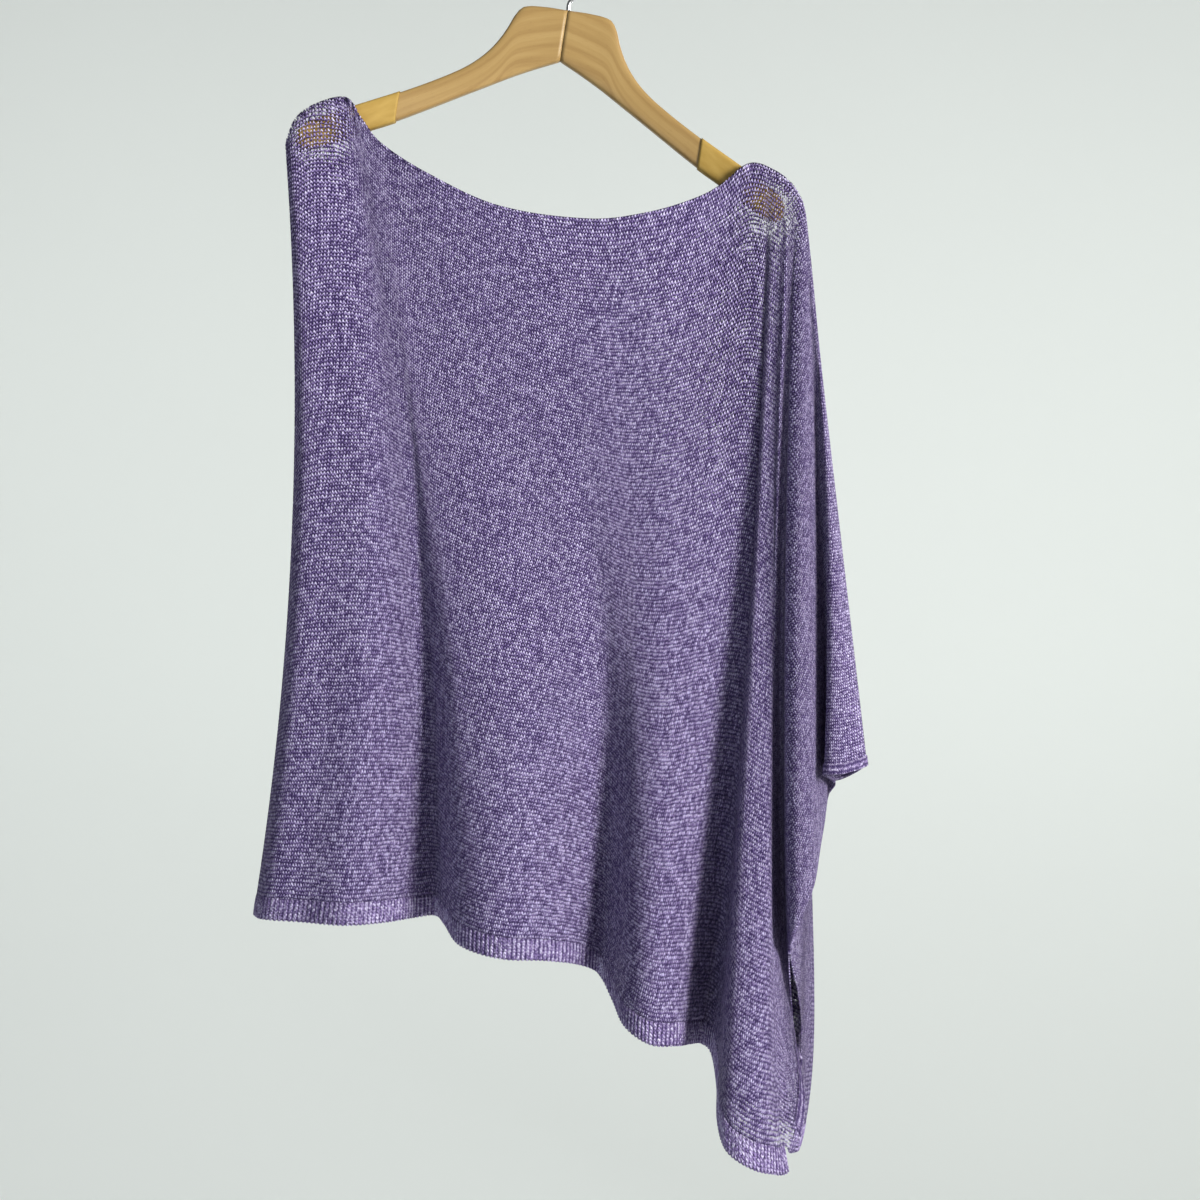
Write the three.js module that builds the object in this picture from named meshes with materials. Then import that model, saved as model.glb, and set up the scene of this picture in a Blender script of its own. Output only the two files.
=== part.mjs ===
// A knitted poncho sweater hanging from a wooden hanger, in millimetres, +Z up, its front toward -Y.
// The origin is the inside of the hook's crown, where a rail or peg holds it.
import * as THREE from "three";

// The flat cut of one panel: s runs across it from the closed left side, t runs down it from the top edge.
// Distances are as the knit hangs: relaxed, a panel is 860 mm wide, and its top edge is pulled out to the width.
const cut = {
  width: 959,
  length: 665,
  shoulderEnd: 50,
  neckEnd: 431,
  cuffEnd: 165,
  slitTop: 425,
  hemRib: 18,
  edgeBand: 9,
  bandInset: 9,
};

// Cloth walls, the gaps at seams, and how far the front and back stand apart round the hanger.
const wall = 1.4;
const bandWall = 0.8;
const seamGap = 0.3;
const ribGap = 0.4;
const bandLift = 0.3;
const facingGap = 0.2;
const ribPitch = 7;
const ribRise = 0.9;
const tent = { width: 9.6, turn: 4.5, fade: 260, neckOpen: 6, cornerBlend: 4, seamBlend: 12, seamTurn: 7 };
const largestStep = 31;
const levels = [
  0, 0.006, 0.014, 0.024, 0.036, 0.06, 0.1, 0.15, 0.21, 0.28, 0.36, 0.44, 0.52, 0.6, 0.68, 0.76, 0.83, 0.89, 0.94,
];
const foldStart = 1.6;
const lateFolds = { from: 405, full: 441, last: 464, gone: 478, more: 0.9 };
const footTurn = 14;

// The hanger: its roll on the hook, its half width and how far its tips curve forward.
const hanger = { roll: 8.8, tipForward: 44, ring: 12, corner: 3.5, gripStart: 130, gripWall: 0.8 };
const hook = { wire: 3.6, radius: 21, foot: -61, sides: 10, steps: 44 };

const mauve = { color: 0x8468ab, roughness: 0.95, metalness: 0 };
const mauveRib = { color: 0x8c71b3, roughness: 0.95, metalness: 0 };
const beech = { color: 0xc9a06c, roughness: 0.5, metalness: 0 };
const amber = { color: 0xc79a3e, roughness: 0.75, metalness: 0 };
const steel = { color: 0xb8bcc0, roughness: 0.3, metalness: 1 };

function table(columns, rows) {
  return rows.map((row) => Object.fromEntries(columns.map((column, i) => [column, row[i]])));
}

// The shared top edge of both panels: left shoulder, neckline, right shoulder, then the top of the sleeve.
const topEdge = table(
  ["s", "x", "z", "y"],
  [
    [0, -246, -182, -42],
    [12, -238, -162, -40],
    [28, -222, -149, -36],
    [50, -197, -142, -28],
    [72, -184, -160, -25],
    [97, -168, -180, -24],
    [148, -126, -208, -26],
    [212, -67, -235, -25],
    [288, 10, -246, -25],
    [339, 60, -240, -26],
    [383, 102, -226, -22],
    [407, 123, -214, -22.5],
    [431, 145, -198, -29.5],
    [453, 165, -205, -36],
    [471, 180, -218, -41],
    [486, 188, -233, -43],
    [503, 191, -251, -44],
    [532, 193, -281, -44],
    [608, 200, -357, -44],
    [731, 213, -480, -45],
    [804, 221, -552, -46],
    [889, 231, -637, -48],
    [959, 241, -706, -50],
  ],
);

// A row for each fold line: where it starts on the top edge, where it ends on the cut, its foot in space,
// its sideways bow, its bow in depth, and how far its foot turns sideways and forward near its end.
const foldColumns = ["name", "top", "s", "t", "x", "z", "y", "bow", "belly", "flare", "curl"];
const frontFolds = table(foldColumns, [
  ["left side", 0, 0, 665, -277, -836, -12, 20, 0, 0, 0],
  ["side roll", 14, 37, 665, -265, -836, -40, 20, -6, 0, 0],
  ["side flat", 30, 76, 665, -232, -837, -50, 21, -8, 0, 0],
  ["ridge 3", 45, 121, 665, -195, -838, -64, 22, -8, 0, 0],
  ["slope 3", 58, 167, 665, -163, -838, -44, 20, -8, 0, 0],
  ["run 3", 68, 215, 665, -140, -838, -12, 18, -13, 0, 0],
  ["valley 3", 77, 242, 665, -123, -839, 8, 18, -18, 0, 0],
  ["wall 2", 86, 278, 665, -113, -843, -24, 18, -14, 0, 0],
  ["edge 2", 100, 322, 665, -98, -855, -62, 21, -7, 0, 0],
  ["ridge 2", 135, 368, 665, -65, -863, -82, 24, -4, 0, 0],
  ["slope 2", 175, 416, 665, -28, -867, -66, 26, -6, 0, 0],
  ["run 2", 215, 463, 665, 1, -876, -30, 26, -12, 0, 0],
  ["valley 2", 242, 492, 665, 18, -888, -8, 26, -14, 0, 0],
  ["wall 1", 270, 527, 665, 29, -905, -34, 22, -10, 0, 0],
  ["edge 1", 310, 569, 665, 39, -921, -70, 14, -4, 0, 0],
  ["ridge 1", 355, 604, 665, 59, -933, -86, 6, -4, 0, 0],
  ["brow 1", 396, 635, 665, 81, -937, -70, 1, -4, 0, 0],
  ["drop 1", 425, 675, 665, 93, -942, -34, 8, -4, 0, 0],
  ["valley 1", 441, 708, 665, 105, -947, -5, 12, -4, 0, 0],
  ["turn 1", 446, 731, 665, 113, -952, -26, 10, 0, 0, 0],
  ["wall A", 449, 786, 665, 116, -974, -62, 7, 0, 0, 0],
  ["edge A", 452, 831, 665, 115, -996, -92, 4, -2, 0, 0],
  ["front A", 455, 871, 665, 121, -1015, -110, 2, -4, 0, 0],
  ["ridge A", 458, 901, 665, 138, -1027, -117, 0, -4, 0, 0],
  ["brow A", 461, 927, 665, 155, -1034, -108, -3, -6, 0, 0],
  ["corner", 464, 959, 665, 173, -1038, -84, -5, -8, 13, 0],
  ["slit low", 467, 959, 635, 184, -1015, -62, -7, -10, 20, 0],
  ["slit lower", 469, 959, 592, 189, -986, -50, -6, -8, 23, 0],
  ["slit middle", 471, 959, 531, 183, -942, -45, -6, -7, 14, 0],
  ["slit upper", 473, 959, 482, 179, -906, -47, -5, -7, 6, 0],
  ["slit top", 476, 959, 425, 176, -863, -59, -5, -6, 2, 0],
  ["R edge", 478, 959, 403, 176, -846, -79, -5, -7, 1, 0],
  ["R ridge", 481, 959, 378, 182, -831, -86, -2, -10, 0, 0],
  ["R side", 485, 959, 330, 194, -803, -78, -2, -11, 0, 0],
  ["R back", 490, 959, 268, 201, -774, -58, 0, -10, 0, 0],
  ["R turn", 496, 959, 215, 206, -753, -44, 1, -8, 0, 0],
  ["underarm", 502, 959, 165, 210, -733, -33, 2, -9, 0, 0],
  ["cuff inside", 509, 959, 112, 216, -721, -40, 3, -10, 0, 0],
  ["cuff corner", 517, 959, 66, 204, -712, -68, 8, -7, 0, 0],
  ["cuff front", 527, 959, 33, 217, -711, -72, 5, -8, 0, 0],
  ["sleeve top", 540, 959, 0, 241, -706, -50, 0, 0, 0, 0],
]);
const backFolds = table(foldColumns, [
  ["left side", 0, 0, 665, -277, -836, -12, 20, 0, 0, 0],
  ["side roll", 14, 32, 665, -269, -838, 20, 20, 8, 0, 0],
  ["side flat", 30, 82, 665, -240, -840, 40, 21, 10, 0, 0],
  ["valley 1", 48, 134, 665, -202, -839, 6, 20, 4, 0, 0],
  ["slope 1", 62, 184, 665, -164, -840, 24, 18, 8, 0, 0],
  ["ridge 2", 78, 232, 665, -130, -843, 54, 18, 14, 0, 0],
  ["run 2", 105, 280, 665, -94, -852, 26, 20, 6, 0, 0],
  ["valley 2", 150, 342, 665, -52, -863, -4, 24, 4, 0, 0],
  ["slope 3", 200, 396, 665, -14, -873, 24, 26, 8, 0, 0],
  ["ridge 3", 245, 446, 665, 18, -889, 56, 26, 16, 0, 0],
  ["run 3", 300, 498, 665, 44, -912, 24, 16, 8, 0, 0],
  ["valley 3", 350, 544, 665, 68, -932, -14, 8, 2, 0, 0],
  ["slope 4", 396, 590, 665, 90, -944, 20, 4, 8, 0, 0],
  ["ridge 4", 432, 632, 665, 110, -952, 54, 6, 14, 0, 0],
  ["run 4", 444, 682, 665, 126, -972, 26, 6, 10, 0, 0],
  ["valley 4", 450, 738, 665, 143, -992, -12, 6, 4, 0, 0],
  ["slope 5", 455, 792, 665, 159, -1008, 12, 8, 8, 0, 0],
  ["ridge 5", 459, 840, 665, 177, -1020, 34, 7, 12, -9, 0],
  ["D outline", 462, 880, 665, 189, -1030, 16, -3, 10, -18, -4],
  ["D front", 464, 908, 665, 187, -1034, -18, -3, 9, -22, -18],
  ["D edge", 466, 934, 665, 182, -1034, -32, -1, 12, -25, -19],
  ["corner", 468, 959, 665, 176, -1030, -42, 2, 15, -26, -18],
  ["slit low", 470, 959, 635, 181, -1007, -38, 5, 18, -15, -4],
  ["slit lower", 471, 959, 592, 185, -975, -40, 9, 19, -5, 0],
  ["slit middle", 473, 959, 531, 188, -938, -37, 12, 20, 3, 7],
  ["slit upper", 475, 959, 482, 185, -904, -41, 13, 21, 1, 5],
  ["slit top", 477, 959, 425, 176, -863, -59, 14, 22, -9, -14],
  ["R edge", 479, 959, 403, 176, -846, -79, 11, 21, -15, -37],
  ["R ridge", 482, 959, 378, 182, -831, -86, 9, 20, -14, -49],
  ["R side", 486, 959, 330, 194, -803, -78, 6, 18, -8, -48],
  ["R back", 491, 959, 268, 201, -774, -58, 5, 17, -4, -36],
  ["R turn", 497, 959, 215, 206, -753, -44, 6, 17, -1, -28],
  ["underarm", 503, 959, 165, 210, -733, -33, 6, 17, 0, -21],
  ["cuff inside", 510, 959, 112, 216, -724, -10, 6, 17, 0, 0],
  ["cuff corner", 518, 959, 66, 227, -721, -4, 3, 16, 0, 0],
  ["cuff back", 528, 959, 33, 237, -714, -18, 1, 13, 0, 0],
  ["sleeve top", 540, 959, 0, 241, -706, -50, 0, 0, 0, 0],
]);

// A smooth curve through a table's values, flat where the table turns too sharply to overshoot.
function curve(knots, values) {
  const last = knots.length - 1;
  const slope = (i) => {
    const before = Math.max(i - 1, 0);
    const after = Math.min(i + 1, last);
    return (values[after] - values[before]) / (knots[after] - knots[before]);
  };
  return (at) => {
    let i = 0;
    while (i < last - 1 && at > knots[i + 1]) i += 1;
    const step = knots[i + 1] - knots[i];
    const w = (at - knots[i]) / step;
    const rise = 3 * w * w - 2 * w * w * w;
    const start = w * (1 - w) * (1 - w) * step * slope(i);
    const end = w * w * (w - 1) * step * slope(i + 1);
    return values[i] + (values[i + 1] - values[i]) * rise + start + end;
  };
}

function straight(values) {
  return (at) => {
    const i = Math.min(Math.max(Math.floor(at), 0), values.length - 2);
    return values[i] + (values[i + 1] - values[i]) * (at - i);
  };
}

const mix = THREE.MathUtils.lerp;
const step = THREE.MathUtils.smoothstep;
const topCurve = Object.fromEntries(
  ["x", "y", "z"].map((axis) => [axis, curve(topEdge.map((row) => row.s), topEdge.map((row) => row[axis]))]),
);

// One panel hung from the top edge. Its inner face is a function of u, along the fold table, and v, down each fold.
function drape(folds, side) {
  const count = folds.length - 1;
  const index = folds.map((row, i) => i);
  const column = (name) => folds.map((row) => row[name]);
  const smooth = Object.fromEntries(
    ["x", "z", "y", "bow", "belly", "flare", "curl"].map((name) => [name, curve(index, column(name))]),
  );
  const flat = Object.fromEntries(["top", "s", "t"].map((name) => [name, straight(column(name))]));

  // The walls part at the shoulder, at the closed left side and at the side seam, and meet on those lines.
  function parting(top, s, t) {
    const left = 1 - step(top, cut.shoulderEnd, cut.shoulderEnd + tent.cornerBlend);
    const right = step(top, cut.neckEnd - tent.cornerBlend, cut.neckEnd);
    const joined = Math.max(left, right);
    const along = THREE.MathUtils.clamp((top - cut.shoulderEnd) / (cut.neckEnd - cut.shoulderEnd), 0, 1);
    const width = (tent.width + tent.neckOpen * Math.sin(Math.PI * along)) * Math.exp(-t / tent.fade);
    const seam = step(t, cut.cuffEnd - tent.seamBlend, cut.cuffEnd) * (1 - step(t, cut.slitTop, cut.slitTop + 40));
    const atTop = 1 - joined * Math.exp(-t / tent.turn);
    const atLeft = 1 - Math.exp(-s / tent.turn);
    const atSeam = 1 - seam * Math.exp(-(cut.width - s) / tent.seamTurn);
    return width * atTop * atLeft * atSeam;
  }

  function inner(u, v) {
    const top = flat.top(u);
    const t = flat.t(u) * v;
    const s = mix(top, flat.s(u), v);
    const hump = 4 * v * (1 - v);
    const flare = smooth.flare(u);
    const curl = smooth.curl(u);
    const turned = v ** footTurn;
    const x = mix(topCurve.x(top), smooth.x(u) - flare, v) + smooth.bow(u) * hump + flare * turned;
    const late = step(top, lateFolds.from, lateFolds.full) * (1 - step(top, lateFolds.last, lateFolds.gone));
    const hung = mix(topCurve.y(top), smooth.y(u) - curl, v ** (foldStart + lateFolds.more * late));
    const depth = hung + smooth.belly(u) * hump + curl * turned;
    const y = depth + side * (parting(top, s, t) + facingGap);
    return new THREE.Vector3(x, y, mix(topCurve.z(top), smooth.z(u), v));
  }

  // The outward direction, taken a little inside the corner where the shoulder runs on into the sleeve.
  function outward(u, v) {
    const reach = 0.02;
    const place = Math.min(u, count - 0.3);
    const level = u > count - 2 ? Math.max(v, 0.03) : v;
    const lower = Math.max(place - reach, 0);
    const above = Math.max(level - reach / 4, 0);
    const below = Math.min(level + reach / 4, 1);
    const across = inner(place + reach, level).sub(inner(lower, level));
    const down = inner(place, below).sub(inner(place, above));
    return across.cross(down).normalize().multiplyScalar(side);
  }

  const point = (u, v, out, level = v) => inner(u, v).addScaledVector(outward(u, level), out);
  return { point, flat, count };
}

// The place along a rising straight column of the fold table where it reaches a value.
function placeOf(column, value, from, to) {
  let low = from;
  let high = to;
  for (let i = 0; i < 40; i += 1) {
    const middle = (low + high) / 2;
    if (Math.sign(column(middle) - value) === Math.sign(column(low) - value)) low = middle;
    else high = middle;
  }
  return (low + high) / 2;
}

// The columns of a panel's grid: every fold line, the neck's corners, the hem's end, and steps between them.
function gridColumns(panel, folds) {
  const corner = folds.findIndex((row) => row.name === "corner");
  const hemEnd = placeOf(panel.flat.t, cut.length - 0.8 * cut.hemRib, corner, corner + 1);
  const neckLine = [cut.shoulderEnd, cut.shoulderEnd + cut.bandInset, cut.neckEnd - cut.bandInset, cut.neckEnd];
  const necks = neckLine.map((s) => placeOf(panel.flat.top, s, 0, corner));
  const places = [...folds.map((row, i) => i), hemEnd, ...necks].sort((a, b) => a - b);
  const apart = places.filter((u, i) => i === 0 || u - places[i - 1] > 1e-3);
  const columns = [];
  apart.forEach((u, i) => {
    const next = apart[Math.min(i + 1, apart.length - 1)];
    const foot = panel.point(u, 1, 0).distanceTo(panel.point(next, 1, 0));
    const parts = Math.max(Math.round(foot / largestStep), 1);
    for (let k = 0; k < (next > u ? parts : 1); k += 1) columns.push(mix(u, next, k / parts));
  });
  return { columns, hemEnd, neckStart: necks[1], neckEnd: necks[2] };
}

// A closed mesh from points and triangles, turned to face outwards.
function solid(points, faces) {
  const volume = faces.reduce((sum, [a, b, c]) => {
    const cross = new THREE.Vector3().crossVectors(points[b], points[c]);
    return sum + points[a].dot(cross);
  }, 0);
  const turned = volume < 0 ? faces.map(([a, b, c]) => [a, c, b]) : faces;
  const geometry = new THREE.BufferGeometry();
  geometry.setAttribute("position", new THREE.Float32BufferAttribute(points.flatMap((p) => p.toArray()), 3));
  geometry.setIndex(turned.flat());
  geometry.computeVertexNormals();
  return geometry;
}

// A wall between an inner and an outer grid of points, closed round its four edges.
function shell(inside, outside) {
  const columns = inside.length;
  const rows = inside[0].length;
  const points = [...inside.flat(), ...outside.flat()];
  const inner = (i, j) => i * rows + j;
  const outer = (i, j) => columns * rows + i * rows + j;
  const faces = [];
  const quad = (a, b, c, d) => faces.push([a, b, c], [a, c, d]);
  for (let i = 0; i < columns - 1; i += 1) {
    for (let j = 0; j < rows - 1; j += 1) {
      quad(inner(i, j), inner(i, j + 1), inner(i + 1, j + 1), inner(i + 1, j));
      quad(outer(i, j), outer(i + 1, j), outer(i + 1, j + 1), outer(i, j + 1));
    }
    quad(inner(i, 0), inner(i + 1, 0), outer(i + 1, 0), outer(i, 0));
    quad(inner(i, rows - 1), outer(i, rows - 1), outer(i + 1, rows - 1), inner(i + 1, rows - 1));
  }
  for (let j = 0; j < rows - 1; j += 1) {
    const end = columns - 1;
    quad(inner(0, j), outer(0, j), outer(0, j + 1), inner(0, j + 1));
    quad(inner(end, j), inner(end, j + 1), outer(end, j + 1), outer(end, j));
  }
  return solid(points, faces);
}

// The levels of one column: the last is the hem rib's seam or the panel's right edge, the one before is its band.
function columnLevels(panel, u) {
  const ribSeam = (cut.length - cut.hemRib) / Math.max(panel.flat.t(u), 1);
  const atEdge = panel.flat.s(u) >= cut.width - 0.01;
  const end = Math.min(ribSeam, 1);
  const inset = seamGap / (cut.width - panel.flat.top(u));
  const band = cut.edgeBand / (cut.width - panel.flat.top(u));
  return [...levels, end - band, atEdge && ribSeam > 1 ? end - inset : end];
}

function panelGeometry(panel, grid) {
  const face = (out) => grid.columns.map((u) => columnLevels(panel, u).map((v) => panel.point(u, v, out)));
  return shell(face(0), face(wall));
}

// A band that lies on a panel, made from the same columns and levels, moved out.
function bandGeometry(panel, columns, firstLevel, lastLevel) {
  const face = (out) =>
    columns.map((u) => columnLevels(panel, u).slice(firstLevel, lastLevel).map((v) => panel.point(u, v, out)));
  return shell(face(wall + bandLift), face(wall + bandLift + bandWall));
}

// The ribbed hem: ribs raised in the outer face over a plain inside, between the panel's lower edge and the hem.
function ribGeometry(panel, grid) {
  const columns = grid.columns.filter((u) => u <= grid.hemEnd + 1e-6);
  const level = (u, t) => Math.min(t / panel.flat.t(u), 1);
  const seam = cut.length - cut.hemRib;
  const ends = (u, out) => [
    panel.point(u, level(u, seam + ribGap), out, level(u, seam)),
    panel.point(u, level(u, cut.length), out),
  ];
  const inside = [];
  const outside = [];
  columns.slice(0, -1).forEach((u, i) => {
    const next = columns[i + 1];
    const flatLength = Math.max(panel.flat.s(next) - panel.flat.s(u), ribPitch);
    const parts = 2 * Math.max(Math.round(flatLength / ribPitch), 1);
    const last = i === columns.length - 2 ? parts : parts - 1;
    for (let k = 0; k <= last; k += 1) {
      const rise = k % 2 === 1 ? wall + ribRise : wall;
      const between = (out) => {
        const right = ends(next, out);
        return ends(u, out).map((p, j) => p.lerp(right[j], k / parts));
      };
      inside.push(between(0));
      outside.push(between(rise));
    }
  });
  return shell(inside, outside);
}

// A body lofted through rings of points, closed at both ends.
function loft(rings) {
  const size = rings[0].length;
  const faces = [];
  for (let i = 0; i < rings.length - 1; i += 1) {
    for (let j = 0; j < size; j += 1) {
      const a = i * size + j;
      const b = i * size + ((j + 1) % size);
      faces.push([a, b, b + size], [a, b + size, a + size]);
    }
  }
  const last = (rings.length - 1) * size;
  for (let j = 1; j < size - 1; j += 1) {
    faces.push([0, j + 1, j], [last, last + j, last + j + 1]);
  }
  return solid(rings.flat(), faces);
}

// The hanger's arm by stations outward from its middle: its upper and lower edge and half its thickness.
const armStations = table(
  ["a", "top", "bottom", "half"],
  [
    [0, -62, -106, 6.5],
    [20, -62, -115.5, 6.5],
    [38, -65, -125, 6.5],
    [44, -73, -128.5, 6.5],
    [50, -88, -132, 6.4],
    [60, -105, -138, 6.2],
    [75, -121, -147, 6],
    [96, -136, -160, 5.8],
    [130, -156.5, -181, 5.5],
    [155, -170.5, -195, 5.2],
    [178, -183.5, -209, 5],
    [194, -193.5, -217, 4.8],
    [202, -199.5, -219, 4.2],
    [206.5, -206, -216, 2.8],
  ],
);
const armCurve = Object.fromEntries(
  ["top", "bottom", "half"].map((name) => [name, curve(armStations.map((r) => r.a), armStations.map((r) => r[name]))]),
);

// One section of the arm as a rounded rectangle, grown by a margin all round.
function armRing(a, mirror, margin) {
  const high = armCurve.top(a) + margin;
  const low = armCurve.bottom(a) - margin;
  const half = armCurve.half(a) + margin;
  const corner = Math.min(hanger.corner, half * 0.8, (high - low) / 2.2);
  const middle = -hanger.tipForward * (a / 218) ** 2;
  const ring = [];
  const perCorner = hanger.ring / 4;
  [[1, 1], [-1, 1], [-1, -1], [1, -1]].forEach(([depth, height], quarter) => {
    for (let k = 0; k < perCorner; k += 1) {
      const angle = (quarter + k / (perCorner - 1)) * (Math.PI / 2);
      const y = middle + depth * (half - corner) + corner * Math.cos(angle);
      const z = (height > 0 ? high - corner : low + corner) + corner * Math.sin(angle);
      ring.push(new THREE.Vector3(mirror * a, y, z));
    }
  });
  return ring;
}

function armGeometry(mirror) {
  const start = seamGap / 2;
  return loft(armStations.map((row) => armRing(Math.max(row.a, start), mirror, 0)));
}

// The non-slip sleeve drawn over the end of an arm, open toward the middle.
function gripGeometry(mirror) {
  const inside = armStations.filter((row) => row.a >= hanger.gripStart);
  const lining = inside.map((row) => armRing(row.a, mirror, seamGap));
  const lastRing = lining[lining.length - 1].map((p) => p.clone().add(new THREE.Vector3(mirror * seamGap, 0, 0)));
  const skin = inside.map((row) => armRing(row.a, mirror, seamGap + hanger.gripWall));
  const endShift = new THREE.Vector3(mirror * (seamGap + hanger.gripWall), 0, 0);
  const cap = skin[skin.length - 1].map((p) => p.clone().add(endShift));
  return loft([lastRing, ...lining.slice(0, -1).reverse(), ...skin.slice(0, -1), cap]);
}

// The hook: a straight shank, then an open round crown whose inside is the origin.
function hookGeometry() {
  const centre = new THREE.Vector3(0, 0, -hook.radius);
  const reach = hook.radius + hook.wire / 2;
  const route = [new THREE.Vector3(0, 0, hook.foot), new THREE.Vector3(0, 0, hook.foot + 6)];
  route.push(new THREE.Vector3(4, 0, hook.foot + 12));
  for (let degrees = -40; degrees <= 200; degrees += 20) {
    const angle = THREE.MathUtils.degToRad(degrees);
    const arm = new THREE.Vector3(Math.cos(angle), 0, Math.sin(angle));
    route.push(centre.clone().addScaledVector(arm, reach));
  }
  const section = new THREE.Shape();
  section.absarc(0, 0, hook.wire / 2, 0, 2 * Math.PI, false);
  return new THREE.ExtrudeGeometry(section, {
    steps: hook.steps,
    curveSegments: hook.sides / 2,
    bevelEnabled: false,
    extrudePath: new THREE.CatmullRomCurve3(route, false, "centripetal"),
  });
}

const part = new THREE.Group();

function add(parent, name, geometry, finish) {
  const mesh = new THREE.Mesh(geometry, new THREE.MeshStandardMaterial(finish));
  mesh.name = name;
  parent.add(mesh);
}

// The panel with its neck band, its ribbed hem and the bands of its right edge.
function addPanel(name, folds, side) {
  const panel = drape(folds, side);
  const grid = gridColumns(panel, folds);
  const between = (from, to) => grid.columns.filter((u) => u >= from - 1e-6 && u <= to + 1e-6);
  const row = (label) => folds.findIndex((fold) => fold.name === label);
  const neckLevels = levels.indexOf(0.036) + 1;
  const count = levels.length;
  add(part, `${name}_panel`, panelGeometry(panel, grid), mauve);
  add(part, `${name}_hem_rib`, ribGeometry(panel, grid), mauveRib);
  add(part, `${name}_neck_band`, bandGeometry(panel, between(grid.neckStart, grid.neckEnd), 0, neckLevels), mauveRib);
  const slit = between(row("slit low"), row("slit middle"));
  const cuff = between(row("cuff inside"), row("sleeve top"));
  add(part, `${name}_slit_band`, bandGeometry(panel, slit, count, count + 2), mauveRib);
  add(part, `${name}_cuff_band`, bandGeometry(panel, cuff, count, count + 2), mauveRib);
}

addPanel("front", frontFolds, -1);
addPanel("back", backFolds, 1);

const frame = new THREE.Group();
frame.rotation.y = THREE.MathUtils.degToRad(hanger.roll);
add(frame, "hanger_arm_left", armGeometry(-1), beech);
add(frame, "hanger_arm_right", armGeometry(1), beech);
add(frame, "grip_left", gripGeometry(-1), amber);
add(frame, "grip_right", gripGeometry(1), amber);
add(frame, "hanger_hook", hookGeometry(), steel);
part.add(frame);

export default part;
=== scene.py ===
# %% [markdown]
# # A knitted poncho sweater on a wooden hanger
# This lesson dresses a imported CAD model. The garment is two wide knitted rectangles, joined along the left
# side, at the shoulders and under the arm, and it hangs in deep soft folds over the arms of a wooden hanger.
# The CAD solids stay as the frame, and each visible piece is made again here with a finer surface and a real
# finish.

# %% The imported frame
import math

import bmesh
import bpy
import numpy as np
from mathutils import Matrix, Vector


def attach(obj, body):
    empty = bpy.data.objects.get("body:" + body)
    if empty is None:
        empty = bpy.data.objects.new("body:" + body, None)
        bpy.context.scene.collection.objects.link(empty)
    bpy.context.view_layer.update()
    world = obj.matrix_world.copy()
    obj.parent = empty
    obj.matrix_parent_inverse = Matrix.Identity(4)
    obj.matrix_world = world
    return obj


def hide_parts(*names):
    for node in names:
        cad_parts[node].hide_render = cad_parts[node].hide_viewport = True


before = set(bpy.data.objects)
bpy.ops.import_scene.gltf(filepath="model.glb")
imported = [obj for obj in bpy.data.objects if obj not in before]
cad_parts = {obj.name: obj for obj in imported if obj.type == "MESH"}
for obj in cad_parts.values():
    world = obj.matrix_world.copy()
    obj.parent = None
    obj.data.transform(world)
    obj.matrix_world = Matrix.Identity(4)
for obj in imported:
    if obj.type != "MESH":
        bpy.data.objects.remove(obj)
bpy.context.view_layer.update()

# %% [markdown]
# ## Camera
# The photograph is taken straight on from about two metres, level with the middle of the garment.
# The camera looks along +Y, and its lens is worked out from the width that the picture takes in at the cloth.

# %% Camera
VIEW = {"x": 0.018, "z": -0.567, "distance": 2.0, "cloth_y": -0.05, "width": 1.0056}

camera_data = bpy.data.cameras.new("camera")
camera_data.sensor_width = 36
camera_data.lens = camera_data.sensor_width * VIEW["distance"] / VIEW["width"]
camera = bpy.data.objects.new("camera", camera_data)
camera.location = (VIEW["x"], VIEW["cloth_y"] - VIEW["distance"], VIEW["z"])
camera.rotation_euler = (math.pi / 2, 0, 0)
bpy.context.scene.collection.objects.link(camera)
bpy.context.scene.camera = camera
print("lens in mm:", round(camera_data.lens, 1))

# %% [markdown]
# ## Stage and light
# A pale room with one large window to the right gives soft light and slow shadows. A weak light stands
# behind the garment, and two more light the far wall. The stage is a floor that curves up into that wall, so
# that no corner shows. One grid is bent into that profile, with a smooth cove.

# %% Stage
STAGE = {"half_width": 7.0, "front": -6.0, "floor": -2.3, "wall": 4.2, "cove": 1.4, "top": 4.0}


def matt_paint(name, colour):
    """A matt painted surface whose tone wanders very slightly."""
    finish = bpy.data.materials.new(name)
    finish.use_nodes = True
    tree = finish.node_tree
    surface = tree.nodes["Principled BSDF"]
    surface.inputs["Roughness"].default_value = 0.9
    noise = tree.nodes.new("ShaderNodeTexNoise")
    noise.inputs["Scale"].default_value = 0.7
    tone = tree.nodes.new("ShaderNodeValToRGB")
    tone.color_ramp.elements[0].color = (*[c * 0.96 for c in colour], 1)
    tone.color_ramp.elements[1].color = (*colour, 1)
    place = tree.nodes.new("ShaderNodeTexCoord")
    tree.links.new(place.outputs["Object"], noise.inputs["Vector"])
    tree.links.new(noise.outputs["Fac"], tone.inputs["Fac"])
    tree.links.new(tone.outputs["Color"], surface.inputs["Base Color"])
    return finish


def stage_profile(along):
    """Depth and height of the stage at a length along it, from its front edge to the top of its wall."""
    flat = STAGE["wall"] - STAGE["cove"] - STAGE["front"]
    bend = STAGE["cove"] * math.pi / 2
    if along < flat:
        return STAGE["front"] + along, STAGE["floor"]
    if along < flat + bend:
        angle = (along - flat) / STAGE["cove"]
        depth = STAGE["wall"] - STAGE["cove"] + STAGE["cove"] * math.sin(angle)
        return depth, STAGE["floor"] + STAGE["cove"] * (1 - math.cos(angle))
    return STAGE["wall"], STAGE["floor"] + STAGE["cove"] + along - flat - bend


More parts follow.
